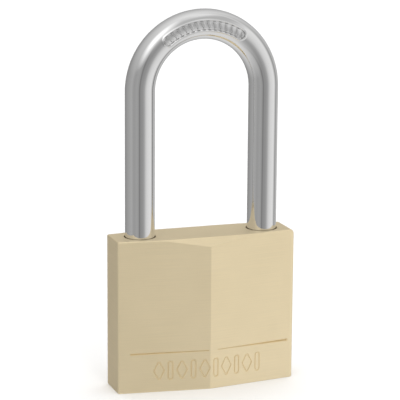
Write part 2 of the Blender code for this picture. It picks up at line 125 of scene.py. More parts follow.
def fillet(before: np.ndarray, corner: np.ndarray, after: np.ndarray, radius: np.ndarray,
           steps: int) -> np.ndarray:
    """Round a corner with an arc that touches both of its edges.

    The arc's centre lies on the corner's bisector, at the radius over the sine
    of the half angle. Its points turn evenly from one touching point to the other.

    Args:
        before: The point before each corner, (..., 2).
        corner: Each corner, (..., 2).
        after: The point after each corner, (..., 2).
        radius: The arc's radius for each corner.
        steps: How many points the arc has.

    Returns:
        The arc's points, (..., steps, 2).
    """
    back = unit(before - corner)
    onward = unit(after - corner)
    radius = np.broadcast_to(radius, corner.shape[:-1])[..., None]
    half = 0.5 * np.arccos(np.clip(np.sum(back * onward, axis=-1, keepdims=True), -1.0, 1.0))
    centre = corner + unit(back + onward) * radius / np.sin(half)
    start = (corner + back * radius / np.tan(half) - centre)[..., None, :]
    end = (corner + onward * radius / np.tan(half) - centre)[..., None, :]
    turn = (math.pi - 2.0 * half)[..., None, :]
    share = np.linspace(0.0, 1.0, steps)[:, None]
    arc = (np.sin((1.0 - share) * turn) * start + np.sin(share * turn) * end) / np.sin(turn)
    return centre[..., None, :] + arc


def rounded(corners: Sequence[tuple[float, float]], radius: float, steps: int = 4,
            closed: bool = False) -> np.ndarray:
    """Return a flat outline with its corners rounded by fillets.

    Args:
        corners: The sharp outline.
        radius: The radius at each corner.
        steps: The points in each arc.
        closed: Whether the last corner joins the first. The ends of an open
            outline stay sharp.

    Returns:
        The outline's points, one a row.
    """
    outline = np.array(corners, float)
    before = np.roll(outline, 1, axis=0)
    after = np.roll(outline, -1, axis=0)
    arcs = slice(None) if closed else slice(1, -1)
    soft = fillet(before[arcs], outline[arcs], after[arcs], np.array(radius), steps).reshape(-1, 2)
    return soft if closed else np.vstack((outline[:1], soft, outline[-1:]))


def base_axes(axis: np.ndarray) -> tuple[np.ndarray, np.ndarray]:
    """Return two directions square to an axis and to each other, right handed with it."""
    helper = X_AXIS if abs(axis[2]) > 0.9 else Z_AXIS
    first = unit(np.cross(helper, axis))
    return first, np.cross(axis, first)


@dataclass(frozen=True)
class Plane:
    """A flat place to draw on.

    Attributes:
        origin: Where a drawing's zero lies.
        right: A drawing's first direction.
        up: A drawing's second direction.
    """

    origin: np.ndarray
    right: np.ndarray
    up: np.ndarray

    @property
    def normal(self) -> np.ndarray:
        """The way that it faces."""
        return np.cross(self.right, self.up)

    def lay(self, drawing: np.ndarray, height: float) -> np.ndarray:
        """Return a drawing's points at a height above the plane."""
        return self.origin + drawing[:, :1] * self.right + drawing[:, 1:] * self.up + height * self.normal


GROUND = Plane(np.zeros(3), X_AXIS, Y_AXIS)


@dataclass
class Skin:
    """A closed surface made of rings of points, each ring joined to the next.

    Attributes:
        name: The piece's name.
        rings: The rings' points, (ring, point, 3).
        along: The pattern's first coordinate, one for each ring, in metres.
        around: The pattern's second coordinate, one for each point and one more
            where the ring closes, in metres.
        hoop: Whether the last ring joins the first. If not, a flat cap closes
            each end.
        cap_axes: The two directions that carry the pattern on the caps.
    """

    name: str
    rings: np.ndarray
    along: np.ndarray
    around: np.ndarray
    hoop: bool = False
    cap_axes: tuple[np.ndarray, np.ndarray] = (Y_AXIS, Z_AXIS)

    def quads(self) -> tuple[np.ndarray, np.ndarray]:
        """Return each four-sided face's corners, and each corner's pattern place."""
        count, size = self.rings.shape[:2]
        spans = count if self.hoop else count - 1
        ring, point = np.meshgrid(np.arange(spans), np.arange(size), indexing="ij")
        next_ring = (ring + 1) % count
        next_point = (point + 1) % size
        faces = np.stack((ring * size + point, ring * size + next_point,
                          next_ring * size + next_point, next_ring * size + point), axis=-1)
        along = np.append(self.along, self.along[-1] + np.ptp(self.along) / count)
        low, high = along[ring], along[ring + 1]
        left, right = self.around[point], self.around[point + 1]
        places = np.stack((low, left, low, right, high, right, high, left), axis=-1)
        return faces.reshape(-1, 4), places.reshape(-1, 2)

    def caps(self) -> tuple[list[np.ndarray], np.ndarray]:
        """Return the two end faces' corners, and each corner's pattern place."""
        if self.hoop:
            return [], np.zeros((0, 2))
        count, size = self.rings.shape[:2]
        first = np.arange(size)[::-1]
        last = (count - 1) * size + np.arange(size)
        points = self.rings.reshape(-1, 3)[np.concatenate((first, last))]
        places = np.stack((points @ self.cap_axes[0], points @ self.cap_axes[1]), axis=-1)
        return [first, last], places

    def build(self) -> Object:
        """Put the surface into a new object with its faces turned outwards."""
        quads, quad_places = self.quads()
        caps, cap_places = self.caps()
        points = self.rings.reshape(-1, 3)
        mesh = bpy.data.meshes.new(self.name)
        mesh.from_pydata(points.tolist(), [], quads.tolist() + [cap.tolist() for cap in caps])
        layer = mesh.uv_layers.new(name="pattern")
        layer.data.foreach_set("uv", np.concatenate((quad_places, cap_places)).astype(np.float32).ravel())
        if self.volume(points, quads, caps) < 0.0:
            mesh.flip_normals()
        piece = bpy.data.objects.new(self.name, mesh)
        bpy.context.scene.collection.objects.link(piece)
        return piece

    @staticmethod
    def volume(points: np.ndarray, quads: np.ndarray, caps: list[np.ndarray]) -> float:
        """Return six times the enclosed volume, negative if the faces point inwards.

        It is the sum, over triangles, of each one's triple product, with the
        origin at the middle of all points.
        """
        fans = [np.stack((np.full(len(cap) - 2, cap[0]), cap[1:-1], cap[2:]), axis=-1) for cap in caps]
        triangles = np.concatenate([quads[:, [0, 1, 2]], quads[:, [0, 2, 3]], *fans])
        corners = (points - points.mean(axis=0))[triangles]
        return float(np.sum(corners[:, 0] * np.cross(corners[:, 1], corners[:, 2])))


def turned(name: str, profile: np.ndarray, axis: np.ndarray, origin: Sequence[float], steps: int = 64,
           hoop: bool = False) -> Object:
    """Turn a profile about an axis.

    A point at angle a is the origin, plus the height along the axis, plus the
    radius times the cosine of a along one cross direction and its sine along the other.

    Args:
        name: The piece's name.
        profile: Rows of (radius, height), none on the axis itself.
        axis: The axis direction.
        origin: A point on the axis.
        steps: How many points go round.
        hoop: Whether the profile closes on itself, as a ring's does.

    Returns:
        The turned piece.
    """
    profile = np.array(profile, float)
    first, second = base_axes(axis)
    angles = np.linspace(0.0, math.tau, steps + 1)
    spokes = np.cos(angles[:-1, None]) * first + np.sin(angles[:-1, None]) * second
    rings = np.array(origin) + profile[:, None, :1] * spokes + profile[:, None, 1:] * axis
    return Skin(name, rings, running_length(profile), angles * profile[:, 0].max(), hoop,
                (first, second)).build()


def pin(name: str, radius: float, start: float, end: float, axis: np.ndarray, origin: Sequence[float],
        edge: float = 0.0, steps: int = 48) -> Object:
    """Make a round pin from start to end along an axis, with its two edges rounded by edge."""
    core = 0.02 * radius
    corners = [(core, start), (radius, start), (radius, end), (core, end)]
    profile = rounded(corners, edge) if edge > 0.0 else np.array(corners)
    return turned(name, profile, axis, origin, steps)


def prism(name: str, outline: np.ndarray, depths: Sequence[float], plane: Plane,
          scales: Optional[Sequence[float]] = None) -> Object:
    """Carry a flat outline along its plane's normal, scaled about its zero at each depth.

    Args:
        name: The piece's name.
        outline: The outline as drawn on the plane.
        depths: How far each ring lies along the normal.
        plane: The plane.
        scales: Each ring's scale, or None for 1.

    Returns:
        The prism.
    """
    scales = np.ones(len(depths)) if scales is None else scales
    rings = np.array([plane.lay(outline * scale, depth) for depth, scale in zip(depths, scales)])
    around = running_length(np.vstack((outline, outline[:1])))
    return Skin(name, rings, np.arange(len(rings)) * MM, around, cap_axes=(plane.right, plane.up)).build()


def block(name: str, low: Sequence[float], high: Sequence[float]) -> Object:
    """Make a square block between two corners, as a tool."""
    outline = np.array([(low[0], low[1]), (high[0], low[1]), (high[0], high[1]), (low[0], high[1])])
    return prism(name, outline, (low[2], high[2]), GROUND)


def change(piece: Object, tools: Iterable[Object],
           operation: Operation = Operation.CUT) -> Object:
    """Cut some tools out of a piece, or join them to it, and remove the tools.

    Args:
        piece: The piece.
        tools: The tools.
        operation: What the tools do.

    Returns:
        The changed piece.
    """
    tools = list(tools)
    for tool in tools:
        modifier = piece.modifiers.new(tool.name, "BOOLEAN")
        modifier.operation = operation.value
        modifier.solver = "EXACT"
        modifier.object = tool
    graph = bpy.context.evaluated_depsgraph_get()
    mesh = bpy.data.meshes.new_from_object(piece.evaluated_get(graph), preserve_all_data_layers=True,
                                           depsgraph=graph)
    piece.modifiers.clear()
    piece.data = mesh
    for tool in tools:
        bpy.data.objects.remove(tool, do_unlink=True)
    return piece


def complete(piece: Object, metal: "Metal", node: str,
             body: Optional[str] = None) -> Object:
    """Smooth a piece, give it its metal, and put it in its frame node's place.

    Args:
        piece: The finished shape.
        metal: Its finish.
        node: The frame node that it stands for.
        body: The frame body that it rides on, or None to leave it unattached.

    Returns:
        The piece.
    """
    piece.data.materials.clear()
    piece.data.materials.append(metal.material)
    piece.data.shade_smooth()
    piece.data.set_sharp_from_angle(angle=math.radians(38.0))
    weights = piece.modifiers.new("Even faces", "WEIGHTED_NORMAL")
    weights.keep_sharp = True
    if body:
        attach(piece, body)
    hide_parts(node)
    LOG.info("%s: %d faces", piece.name, len(piece.data.polygons))
    return piece


def box_mapped(piece: Object) -> Object:
    """Lay the pattern on a piece from the side that each face looks to, with its grain along X.

    A face that looks along X takes (y, z), one that looks up takes (x, y), and
    one that looks forwards takes (x, z).

    Args:
        piece: The piece.

    Returns:
        The same piece.
    """
    mesh = piece.data
    loops = len(mesh.loops)
    points = np.zeros(len(mesh.vertices) * 3)
    mesh.vertices.foreach_get("co", points)
    corners = np.zeros(loops, np.int32)
    mesh.loops.foreach_get("vertex_index", corners)
    places = points.reshape(-1, 3)[corners]
    normals = np.zeros(len(mesh.polygons) * 3)
    mesh.polygons.foreach_get("normal", normals)
    totals = np.zeros(len(mesh.polygons), np.int32)
    mesh.polygons.foreach_get("loop_total", totals)
    facing = np.repeat(np.abs(normals.reshape(-1, 3)).argmax(axis=1), totals)
    along = np.where(facing == 0, places[:, 1], places[:, 0])
    across = np.where(facing == 2, places[:, 1], places[:, 2])
    layer = mesh.uv_layers.get("pattern") or mesh.uv_layers.new(name="pattern")
    layer.data.foreach_set("uv", np.stack((along, across), axis=-1).astype(np.float32).ravel())
    return piece


def stroke(name: str, outline: np.ndarray, width: float, depth: float, plane: Plane) -> Object:
    """Make the tool that engraves a closed line of one width, with sloping sides.

    The line's sides are the outline moved out and in by half the width along
    its own normals, and by a quarter at the bottom.

    Args:
        name: The tool's name.
        outline: The line's middle as drawn on the plane, anticlockwise.
        width: The line's width at the surface.
        depth: How deep the line is.
        plane: The surface's plane.

    Returns:
        The tool.
    """
    ahead = np.roll(outline, -1, axis=0) - np.roll(outline, 1, axis=0)
    sideways = unit(np.stack((ahead[:, 1], -ahead[:, 0]), axis=-1))
    section = ((0.55, depth), (0.5, 0.0), (0.25, -depth), (-0.25, -depth), (-0.5, 0.0), (-0.55, depth))
    rings = np.stack([plane.lay(outline + sideways * share * width, height) for share, height in section],
                     axis=1)
    along = running_length(np.vstack((outline, outline[:1])))[:-1]
    return Skin(name, rings, along, np.arange(len(section) + 1) * MM, True).build()


# Finishes


class Nodes:
    """A short way to write a shader's nodes."""

    def __init__(self, tree: NodeTree) -> None:
        """Start with an empty tree."""
        self.tree = tree
        tree.nodes.clear()

    def add(self, kind: str, out: str = "", **sockets: object) -> Optional[NodeSocket]:
        """Add a node, set or link its inputs, and return one output.

        Args:
            kind: The node's type, without the ShaderNode prefix.
            out: The wanted output's name, by default the first one.
            sockets: Inputs by name, with _ for a space, or by place as i0, i1 and
                so on. Names that are the node's own properties are set as such.

        Returns:
            The output, or None if the node has none.
        """
        node = self.tree.nodes.new("ShaderNode" + kind)
        links = {}
        for key, value in sockets.items():
            if hasattr(node, key) and not key[1:].isdigit():
                setattr(node, key, value)
            else:
                links[key] = value
        for key, value in links.items():
            socket = node.inputs[int(key[1:])] if key[1:].isdigit() else node.inputs[key.replace("_", " ")]
            if isinstance(value, NodeSocket):
                self.tree.links.new(value, socket)
            else:
                socket.default_value = value
        return next((o for o in node.outputs if out in ("", o.name)), None)

    def ramp(self, factor: NodeSocket,
             stops: Sequence[tuple[float, Sequence[float]]]) -> NodeSocket:
        """Return a colour that goes through some stops.

        Args:
            factor: Where the colour is, from 0 to 1.
            stops: Each stop's place and colour.

        Returns:
            The colour.
        """
        colour = self.add("ValToRGB", "Color", Fac=factor)
        elements = colour.node.color_ramp.elements
        while len(elements) < len(stops):
            elements.new(0.5)
        for element, (place, tone) in zip(elements, stops):
            element.position = place
            element.color = (*tone, 1.0)
        return colour

    def blend(self, share: NodeSocket, first: NodeSocket,
              second: Sequence[float]) -> NodeSocket:
        """Return the first colour, going over to the second as the share goes from 0 to 1."""
        return self.add("MixRGB", Fac=share, Color1=first, Color2=(*second, 1.0))

    def span(self, value: NodeSocket, low: float, high: float) -> NodeSocket:
        """Return a value from 0 to 1 as one from low to high."""
        return self.add("MapRange", i0=value, i1=0.0, i2=1.0, i3=low, i4=high)

    def window(self, value: NodeSocket, low: float, high: float,
               soft: float) -> NodeSocket:
        """Return 1 where a value lies between two limits, and 0 from a soft step outside them."""
        rise = self.add("MapRange", i0=value, i1=low - soft, i2=low)
        fall = self.add("MapRange", i0=value, i1=high + soft, i2=high)
        return self.add("Math", operation="MULTIPLY", i0=rise, i1=fall)

    def grain(self, place: NodeSocket, along: float, across: float, detail: float = 2.0,
              shift: float = 0.0) -> NodeSocket:
        """Return noise from 0 to 1.

        Args:
            place: Where the noise is read.
            along: Its spots' size along the pattern, in metres.
            across: Their size across it.
            detail: How many finer noises it holds.
            shift: How far it is moved, to tell it from another.

        Returns:
            The noise.
        """
        scaled = self.add("Mapping", Vector=place, Location=(shift, shift, 0.0),
                          Scale=(1.0 / along, 1.0 / across, 1.0))
        return self.add("TexNoise", Vector=scaled, Scale=1.0, Detail=detail, Roughness=0.55)


@dataclass(frozen=True)
class Metal:
    """A bare or plated metal with fine lines left by its last tool.

    Attributes:
        slot: The record's finish that it serves.
        tint: Its colour, and shade its colour where it is dulled.
        roughness: Its mean roughness.
        grain_along: The lines' length.
        grain_across: The lines' width.
        grain_depth: How far the lines rise and fall.
        grain_rough: How much the lines change the roughness.
        spot: The size of the faint dull clouds.
        dulling: How far the clouds go from tint to shade, from 0 to 1.
        metallic: How much it reflects as bare metal.
        streaks: How much darker the colour is in the lines.
    """

    slot: Slot
    tint: tuple[float, float, float]
    shade: tuple[float, float, float]
    roughness: float
    grain_along: float = 6.0 * MM
    grain_across: float = 0.12 * MM
    grain_depth: float = 0.002 * MM
    grain_rough: float = 0.08
    spot: float = 5.0 * MM
    dulling: float = 0.5
    metallic: float = 1.0
    streaks: float = 0.0

    @cached_property
    def material(self) -> Material:
        """The material: clouds set the tint, and lines the roughness and the relief."""
        material = bpy.data.materials.new(self.slot.value)
        material.use_nodes = True
        nodes = Nodes(material.node_tree)
        place = nodes.add("UVMap", uv_map="pattern")
        clouds = nodes.grain(place, self.spot, self.spot, 4.0)
        lines = nodes.grain(place, self.grain_along, self.grain_across, 2.0, 0.37)
        share = nodes.add("MapRange", i0=clouds, i1=0.35, i2=0.7, i3=0.0, i4=self.dulling)
        colour = nodes.ramp(share, ((0.0, self.tint), (1.0, self.shade)))
        streak = nodes.add("MapRange", i0=lines, i1=0.62, i2=0.35, i3=0.0, i4=self.streaks)
        colour = nodes.blend(streak, colour, (0.0, 0.0, 0.0))
        rough = nodes.span(lines, self.roughness - self.grain_rough, self.roughness + self.grain_rough)
        relief = nodes.add("Bump", Height=lines, Strength=1.0, Distance=self.grain_depth)
        shader = nodes.add("BsdfPrincipled", Base_Color=colour, Metallic=self.metallic, Roughness=rough,
                           Normal=relief)
        nodes.add("OutputMaterial", Surface=shader)
        return material


BRASS = Metal(Slot.SATIN_BRASS, (0.922, 0.783, 0.525), (0.800, 0.675, 0.435), 0.48, grain_along=12.0 * MM,
              grain_across=0.16 * MM, grain_depth=0.0012 * MM, grain_rough=0.05, spot=26.0 * MM,
              metallic=0.78, streaks=0.03)
CHROME = Metal(Slot.PLATED_STEEL, (0.805, 0.803, 0.800), (0.765, 0.763, 0.760), 0.055, grain_along=9.0 * MM,
               grain_across=0.35 * MM, grain_depth=0.0005 * MM, grain_rough=0.02, dulling=0.3)
TURNED_BRASS = Metal(Slot.TURNED_BRASS, (0.80, 0.66, 0.38), (0.74, 0.60, 0.34), 0.26,
                     grain_along=0.08 * MM, grain_across=9.0 * MM, grain_depth=0.003 * MM)
NICKEL_SILVER = Metal(Slot.NICKEL_SILVER, (0.70, 0.68, 0.61), (0.64, 0.62, 0.55), 0.22,
                      grain_along=0.08 * MM, grain_across=9.0 * MM)
SPRING_STEEL = Metal(Slot.SPRING_STEEL, (0.50, 0.50, 0.52), (0.40, 0.40, 0.42), 0.28, spot=1.0 * MM)
HARD_STEEL = Metal(Slot.HARD_STEEL, (0.42, 0.42, 0.44), (0.34, 0.33, 0.33), 0.36, spot=2.0 * MM)


# Pieces


class Frame:
    """Places that the frame's own nodes give.

    Attributes:
        half_width: The body's half width.
        height: The body's height.
        ridge_depth: The body's half depth at its ridges.
        rod_radius: The shackle rod's radius.
        leg_x: How far each leg's middle lies from the lock's.
        bend_z: The height of the bend's middle.
        heel_z: The heel leg's end.
    """

    def __init__(self) -> None:
        """Read the body's and the shackle's boxes."""
        self.half_width, self.ridge_depth, self.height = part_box("lock_body")[1]
        heel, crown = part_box("shackle")
        self.rod_radius = crown.y
        self.leg_x = crown.x - crown.y
        self.bend_z = crown.z - crown.x
        self.heel_z = heel.z


@dataclass
class LockBody:
    """The brass body: a ridged bar, bored for everything that it holds.

    Depths are half depths. The four edges are radii: along the bottom, along the
    top, round the left end face and round the right one. The bores are radii too,
    and the floors are the bottoms of the leg holes.

    Attributes:
        place: The frame's places.
        ridge_top: The height at which the sloping top meets the ridge.
        ridge_softness: How far each side of the ridge the front is still curved.
        right_top: How far the top is drawn down at the right end face.
        rim: The chamfer at the bores' mouths.
        line_gap: How far from the ridge the score line's right half begins.
        mark_pitch: How far apart the marks stand.
    """

    place: Frame
    end_depth: float = 4.0 * MM
    top_depth: float = 5.14 * MM
    ridge_top: float = 31.55 * MM
    ridge_softness: float = 0.12 * MM
    base_edge: float = 0.25 * MM
    top_edge: float = 0.32 * MM
    left_edge: float = 0.32 * MM
    right_edge: float = 0.80 * MM
    right_top: float = 1.15 * MM
    rim: float = 0.03 * MM
    leg_bore: float = 3.42 * MM
    plug_bore: float = 4.6 * MM
    bolt_bore: float = 2.6 * MM
    keeper_bore: float = 0.8 * MM
    chamber_bore: float = 1.35 * MM
    toe_floor: float = 20.5 * MM
    heel_floor: float = 3.5 * MM
    plug_bore_top: float = 25.6 * MM
    line_z: float = 8.65 * MM
    line_gap: float = 1.7 * MM
    mark_z: float = 4.75 * MM
    mark_pitch: float = 2.5 * MM
    mark_width: float = 0.34 * MM
    mark_depth: float = 0.16 * MM
    marks_count: int = 10

    @property
    def slope(self) -> float:
        """How much the front falls back for each metre along X."""
        return (self.place.ridge_depth - self.end_depth) / (self.place.half_width - self.ridge_softness)

    def half_depth(self, x: np.ndarray) -> np.ndarray:
        """Return the half depth along X: straight sides that meet in a soft ridge.

        It is the depth at the ridge, less the slope times how far the
        hyperbola through (x, softness) has risen.
        """
        rise = np.sqrt(np.square(x) + self.ridge_softness**2) - self.ridge_softness
        return self.place.ridge_depth - self.slope * rise

    def stations(self) -> tuple[np.ndarray, np.ndarray, np.ndarray]:
        """Return the sections' places along X, and how far each is drawn in, and down.

        At an end of radius r the draw is r less r times the sine of the angle
        turned, r less r times its cosine in from the end.
        """
        turn = np.linspace(0.0, math.pi / 2.0, 7)
        back = turn[::-1]
        half = self.place.half_width
        side = spread((1.5 * MM, 10.6 * MM, 8), (11.6 * MM, 16.6 * MM, 3))
        middle = np.concatenate((-side[::-1], self.ridge_softness * np.linspace(-6.0, 6.0, 17), side))
        x = np.concatenate((self.left_edge * (1.0 - np.cos(turn)) - half, middle,
                            half - self.right_edge * (1.0 - np.cos(back))))
        left, flat = self.left_edge * (1.0 - np.sin(turn)), np.zeros(len(middle))
        inset, drop = (np.concatenate((left, flat, right * (1.0 - np.sin(back))))
                       for right in (self.left_edge, self.right_top))
        return x, inset, drop

    def solid(self) -> Object:
        """Build the bar without its bores.

        Each section runs up the front, over the sloping edge where the body is
        deeper than its top face, across the top, and down the back. The sloping
        edge never gets narrower than the two fillets at its sides need.
        """
        x, inset, drop = self.stations()
        depth = self.half_depth(x) - inset
        least = 0.03 * MM
        edge = np.maximum(self.top_edge - inset, least)
        base = np.maximum(self.base_edge - inset, least)
        steep = (self.place.height - self.ridge_top) / (self.place.ridge_depth - self.top_depth)
        tilt = math.atan(steep)
        need = (math.tan(tilt / 2.0) + math.tan((math.pi / 2.0 - tilt) / 2.0)) * math.cos(tilt)
        flat = np.minimum(self.top_depth, depth - 1.02 * need * edge)
        top = self.place.height - drop
        shoulder = top - (depth - flat) * steep
        outline = ((-depth, inset), (-depth, shoulder), (-flat, top), (flat, top), (depth, shoulder),
                   (depth, inset))
        corners = np.array([np.stack(pair, axis=-1) for pair in outline])
        radii = (base, edge, edge, edge, edge, base)
        arcs = [fillet(corners[i - 1], corners[i], corners[(i + 1) % 6], radii[i], 6) for i in range(6)]
        section = np.concatenate(arcs, axis=1)
        across = np.broadcast_to(x[:, None, None], section.shape[:2] + (1,))
        rings = np.concatenate((across, section), axis=-1)
        return Skin("lock_body_form", rings, x, np.arange(section.shape[1] + 1) * MM).build()

    def bores(self) -> list[Object]:
        """Build the tools for the legs' holes, the plug's bore and the drillings from the right."""
        leg_x, top = self.place.leg_x, self.place.height
        core = 0.1 * MM
        tools = []
        for name, radius, x, floor, mouth in (("toe_hole", self.leg_bore, leg_x, self.toe_floor, top),
                                              ("heel_hole", self.leg_bore, -leg_x, self.heel_floor, top),
                                              ("plug_bore", self.plug_bore, 0.0, self.plug_bore_top, 0.0)):
            out = math.copysign(1.0, mouth - floor)
            wide, beyond = radius + self.rim, mouth + out * OVERCUT
            profile = [(core, floor), (radius, floor), (radius, mouth - out * self.rim), (wide, mouth),
                       (wide, beyond), (core, beyond)]
            tools.append(turned(name, np.array(profile), Z_AXIS, (x, 0.0, 0.0), 96))
        drillings = [("bolt_bore", self.bolt_bore, -leg_x, BOLT_Z),
                     ("keeper_bore", self.keeper_bore, 0.0, KEEPER_Z)]
        drillings += [(f"chamber_{i + 1}", self.chamber_bore, 0.0, z) for i, z in enumerate(STACK_Z)]
        for name, radius, start, z in drillings:
            tools.append(pin(name, radius, start, self.place.half_width + OVERCUT, X_AXIS, (0.0, 0.0, z)))
        return tools

    def front(self, x: float, z: float) -> Plane:
        """Return the plane that lies on the front at x and z, with its right side level."""
        level = unit(np.array((1.0, math.copysign(self.slope, x), 0.0)))
        return Plane(np.array((x, -float(self.half_depth(np.array(x))), z)), level, Z_AXIS)

    def score_lines(self) -> list[Object]:
        """Build the tools for the score line: a notch in two halves, and a small pit at its right end.

        Each half goes from one size to another as it goes to the right.
        """
        tools = []
        wedge = np.array([(0.20, -0.33), (0.20, 0.33), (-0.32, 0.0)]) * MM
        halves = (("line_left", -17.4 * MM, -0.35 * MM, 0.95, 0.55),
                  ("line_right", self.line_gap, 18.6 * MM, 0.40, 1.15))
        for name, start, end, first, last in halves:
            face = self.front(0.5 * (start + end), self.line_z)
            reach = 0.5 * (end - start) / face.right[0]
            share = np.linspace(0.0, 1.0, 9)
            sizes = last + (first - last) * smooth_step(share)
            section = Plane(face.origin, face.normal, Z_AXIS)
            tools.append(prism(name, wedge, (2.0 * share - 1.0) * reach, section, sizes))
        face = self.front(18.5 * MM, self.line_z)
        profile = np.array([(0.02, -0.30), (0.30, -0.05), (0.42, 0.30), (0.02, 0.30)]) * MM
        tools.append(turned("line_pit", profile, face.normal, face.origin, 32))
        return tools

    def marks(self) -> list[Object]:
        """Build the tools for a row of plain lozenges and upright bars in outline, low on the front."""
        lozenge = np.array([(-1.15, 0.0), (0.0, -2.2), (1.15, 0.0), (0.0, 2.2)]) * MM
        bar = np.array([(-0.5, -2.0), (0.5, -2.0), (0.5, 2.0), (-0.5, 2.0)]) * MM
        outlines = (rounded(lozenge, 0.25 * MM, 5, True), rounded(bar, 0.45 * MM, 6, True))
        tools = []
        for index in range(self.marks_count):
            x = (index - 0.5 * (self.marks_count - 1)) * self.mark_pitch
            tools.append(stroke(f"mark_{index + 1}", outlines[index % 2], self.mark_width, self.mark_depth,
                                self.front(x, self.mark_z)))
        return tools

    def build(self) -> None:
        """Build the body, cut it, and put it in the frame's place."""
        piece = change(self.solid(), self.bores() + self.score_lines() + self.marks())
        complete(box_mapped(piece), BRASS, "lock_body", "case")


@dataclass
class Shackle:
    """The plated rod: a half circle on two legs, with a stamped pocket on the front of its bend.

    The neck runs from the heel's collar to the notches' bottoms. The two floors
    are the notches', along X.

    Attributes:
        place: The frame's places.
        core: The radius at which its ends close.
        end_radius: The rounding at the toe, and collar_radius the one at the heel.
        pocket_half_angle: The pocket's reach each side of its own middle.
        pocket_centre: How far that middle lies from the crown, towards the toe.
        pocket_inset: How far the pocket's middle line lies inside the rod's.
        bar_height: How far the bars stand up from the pocket's floor.
        bar_lean: How far the bars lean over, as a share of their length.
        lip: The height of the raised edge round the pocket.
        bars: How many raised bars stand in the pocket.
    """

    place: Frame
    toe_z: float = 21.5 * MM
    core: float = 0.06 * MM
    end_radius: float = 0.6 * MM
    collar_radius: float = 0.25 * MM
    neck_radius: float = 2.27 * MM
    neck_low: float = 11.2 * MM
    notch_low: float = 23.7 * MM
    notch_high: float = 29.3 * MM
    toe_floor: float = 12.8 * MM
    heel_floor: float = -12.9 * MM
    pocket_half_angle: float = math.radians(35.4)
    pocket_centre: float = math.radians(-3.0)
    pocket_inset: float = 0.05 * MM
    pocket_half_width: float = 1.12 * MM
    pocket_depth: float = 0.42 * MM
    bar_height: float = 0.34 * MM
    bar_lean: float = 0.35
    lip: float = 0.09 * MM
    bars: int = 13

    def legs(self) -> tuple[np.ndarray, np.ndarray]:
        """Return rows of (radius, height) up the heel leg from its end, and down the toe leg."""
        rod, bend_z, heel_z = self.place.rod_radius, self.place.bend_z, self.place.heel_z
        neck, low, high = self.neck_radius, self.neck_low, self.notch_low
        heel = rounded([(self.core, heel_z), (rod, heel_z), (rod, low), (neck, low), (neck, high),
                        (rod, high), (rod, bend_z)], self.collar_radius, 5)
        toe = rounded([(rod, bend_z), (rod, self.toe_z), (self.core, self.toe_z)], self.end_radius, 8)
        up, down = (np.stack((np.full(10, rod), np.linspace(start, end, 12)[1:-1]), axis=-1)
                    for start, end in ((heel[-2, 1], bend_z), (bend_z, toe[1, 1])))
        return np.vstack((heel[:-1], up)), np.vstack((down, toe[1:]))

    def relief(self, angle: np.ndarray, offset: np.ndarray) -> np.ndarray:
        """Return how far the rod's surface is pushed in at each point on the front of the bend.

        The distance to the pocket's edge is the distance to its middle arc, less
        its half width. The surface falls to the pocket's depth over a short slope
        inside that edge, and rises in a narrow bell around it. The bars are equal
        steps of angle, cut off short of the edge.

        Args:
            angle: The angle from the crown.
            offset: How far the point lies outside the rod's middle line.

        Returns:
            The depth, below 0 where the surface rises.
        """
        radius = self.place.leg_x - self.pocket_inset
        angle = angle - self.pocket_centre
        offset = offset + self.pocket_inset
        beyond = np.maximum(np.abs(angle) - self.pocket_half_angle, 0.0) * radius
        edge = np.hypot(beyond, offset) - self.pocket_half_width
        floor = smooth_step(-edge / (0.22 * MM))
        bell = np.exp(-np.square((edge - 0.06 * MM) / (0.13 * MM)))
        pitch = 2.0 * self.pocket_half_angle / self.bars
        turn = angle + self.pocket_half_angle + offset / radius * self.bar_lean
        phase = np.abs((turn / pitch) % 1.0 - 0.5)
        bar = smooth_step((0.30 - phase) / 0.12) * smooth_step((-edge - 0.32 * MM) / (0.12 * MM))
        return floor * self.pocket_depth - bar * self.bar_height - bell * self.lip

    def solid(self) -> Object:
        """Build the rod with its pocket, from the heel's end round to the toe's tip.

        A point lies its radius from the middle line, times the cosine of its
        angle away from the bend's centre and times its sine to the front. The
        points are close together where the pocket lies, and wide apart elsewhere.
        """
        rod = self.place.rod_radius
        heel, toe = self.legs()
        quarter, fine = math.pi / 2.0, math.radians(50.0)
        bend = spread((-quarter, -fine, 40), (-fine, fine, 300), (fine, quarter, 40))
        around = np.radians(spread((0.0, 66.0, 20), (66.0, 134.0, 66), (134.0, 360.0, 56)))
        cosine, sine = np.cos(around[:-1]), np.sin(around[:-1])
        curve = rod - self.relief(bend[:, None], rod * cosine) * (sine > 0.0)
        radius = np.vstack([np.broadcast_to(part, (len(part), len(cosine)))
                            for part in (heel[:, :1], curve, toe[:, :1])])
        turn = np.concatenate((np.full(len(heel), -quarter), bend, np.full(len(toe), quarter)))
        lean = np.stack((np.sin(turn), np.zeros(len(turn)), np.cos(turn)), axis=-1)
        level = np.concatenate((heel[:, 1], np.full(len(bend), self.place.bend_z), toe[:, 1]))
        middle = lean * self.place.leg_x + level[:, None] * Z_AXIS
        rings = (middle[:, None, :] + (radius * cosine)[..., None] * lean[:, None, :]
                 - (radius * sine)[..., None] * Y_AXIS)
        return Skin("shackle_form", rings, running_length(middle), around * rod,
                    cap_axes=(X_AXIS, Y_AXIS)).build()

    def notches(self) -> list[Object]:
        """Build the tools for the two notches, each open towards the middle."""
        wide = self.place.rod_radius + OVERCUT
        inner = self.place.leg_x - wide
        low, high = self.notch_low, self.notch_high
        return [block("toe_notch", (inner, -wide, low), (self.toe_floor, wide, high)),
                block("heel_notch", (self.heel_floor, -wide, low), (-inner, wide, high))]

    def build(self) -> None:
        """Build the rod, notch it, and put it in the frame's place."""
        complete(change(self.solid(), self.notches()), CHROME, "shackle", "shackle")


